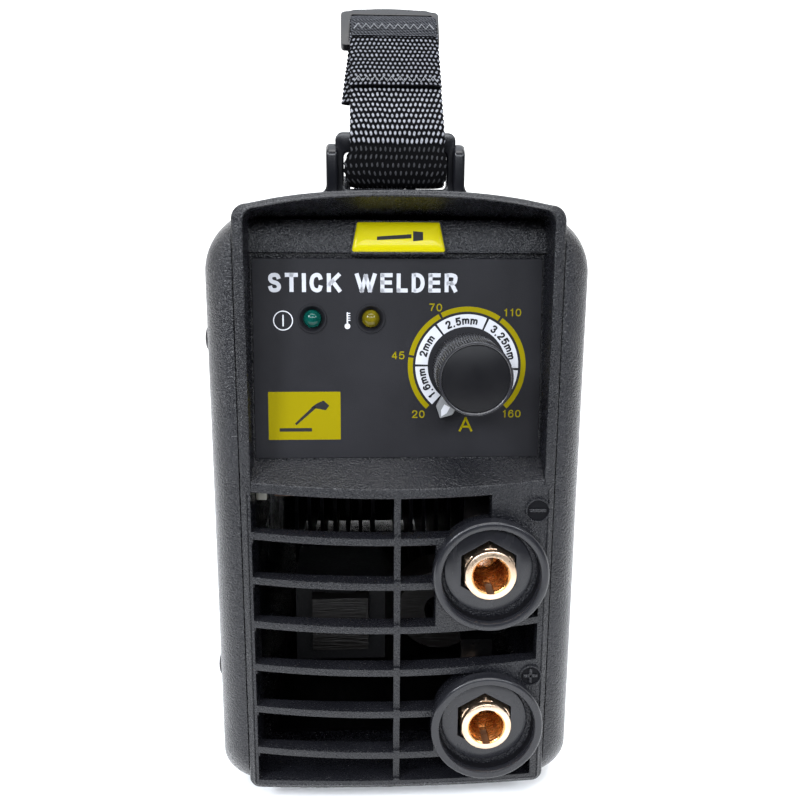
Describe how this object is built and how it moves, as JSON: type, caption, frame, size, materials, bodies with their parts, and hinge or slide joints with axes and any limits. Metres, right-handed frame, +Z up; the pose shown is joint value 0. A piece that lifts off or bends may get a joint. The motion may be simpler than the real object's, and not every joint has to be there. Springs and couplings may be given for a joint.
{
  "type": "stick welder",
  "caption": "Portable inverter stick welder with carry strap, amperage dial, status lamps, slatted front grille and a pair of output sockets.",
  "frame": {"origin": "centre of the overall bounding box in X and Y, at the undersides of the feet in Z", "axes": "+X to the viewer's right when facing the control panel, -Y out of the front, +Z up"},
  "size_m": [0.1444, 0.336, 0.3198],
  "materials": {
    "moulding": "black ABS, satin, fine grain",
    "shell": "black casing with a fine textured coat",
    "overlay": "charcoal film with a printed scale",
    "knob": "black, finely fluted",
    "pointer": "grey arrow",
    "green_lens": "green lamp lens",
    "amber_lens": "amber lamp lens",
    "badge": "domed yellow badge without lettering",
    "socket": "glass-filled black nylon",
    "brass": "machined",
    "zinc_steel": "zinc plated",
    "copper": "bare copper",
    "screw_black": "black zinc plated",
    "rubber": "black rubber",
    "switch": "black",
    "rocker": "red",
    "gland": "black nylon",
    "fan": "black",
    "webbing": "black webbing with light flecks",
    "buckle": "black acetal",
    "tray": "galvanised sheet",
    "board": "green circuit board",
    "alloy": "extruded",
    "capacitor": "sleeved can",
    "chip": "black resin",
    "pot_can": "plated can",
    "ferrite": "grey ferrite",
    "winding": "amber tape"
  },
  "bodies": {
    "machine": {"amber_lamp": "amber_lens", "badge": "badge", "bulk_capacitor_1": "capacitor", "bulk_capacitor_2": "capacitor", "bulk_capacitor_3": "capacitor", "cable_gland": "gland", "chassis_tray": "tray", "control_board": "board", "control_fascia": "moulding", "control_overlay": "overlay", "drive_heatsink": "alloy", "fan_frame": "fan", "foot_front_left": "rubber", "foot_front_right": "rubber", "foot_rear_left": "rubber", "foot_rear_right": "rubber", "front_bezel": "moulding", "front_grille": "moulding", "gland_nut": "gland", "green_lamp": "green_lens", "left_shell": "shell", "main_board": "board", "mains_switch": "switch", "negative_bus_bar": "copper", "negative_socket_bolt": "zinc_steel", "negative_socket_flange": "socket", "negative_socket_insert": "brass", "output_choke": "copper", "positive_bus_bar": "copper", "positive_socket_bolt": "zinc_steel", "positive_socket_flange": "socket", "positive_socket_insert": "brass", "potentiometer": "pot_can", "primary_heatsink": "alloy", "rear_bezel": "moulding", "rear_panel": "moulding", "rectifier_bridge": "chip", "right_shell": "shell", "screw_left_front_lower": "screw_black", "screw_left_front_upper": "screw_black", "screw_left_rear_lower": "screw_black", "screw_left_rear_upper": "screw_black", "screw_right_front_lower": "screw_black", "screw_right_front_upper": "screw_black", "screw_right_rear_lower": "screw_black", "screw_right_rear_upper": "screw_black", "secondary_heatsink": "alloy", "strap_buckle": "buckle", "strap_front": "webbing", "strap_rear": "webbing", "transformer_core": "ferrite", "transformer_winding": "winding"},
    "knob": {"amperage_knob": "knob", "knob_cap": "knob", "knob_pointer": "pointer", "knob_shaft": "zinc_steel"},
    "rocker": {"mains_rocker": "rocker"},
    "fan": {"fan_rotor": "fan"}
  },
  "joints": [
    {"name": "knob_turn", "type": "hinge", "parent": "machine", "child": "knob", "pos_m": [0.0256, -0.14094, 0.1748], "axis": [0, 1, 0], "range_deg": [0, 300]},
    {"name": "rocker_tilt", "type": "hinge", "parent": "machine", "child": "rocker", "pos_m": [-0.026, 0.14049, 0.178], "axis": [-1, 0, 0], "range_deg": [0, 20]},
    {"name": "fan_spin", "type": "hinge", "parent": "machine", "child": "fan", "pos_m": [0, 0.12549, 0.078], "axis": [0, 1, 0], "continuous": true}
  ]
}
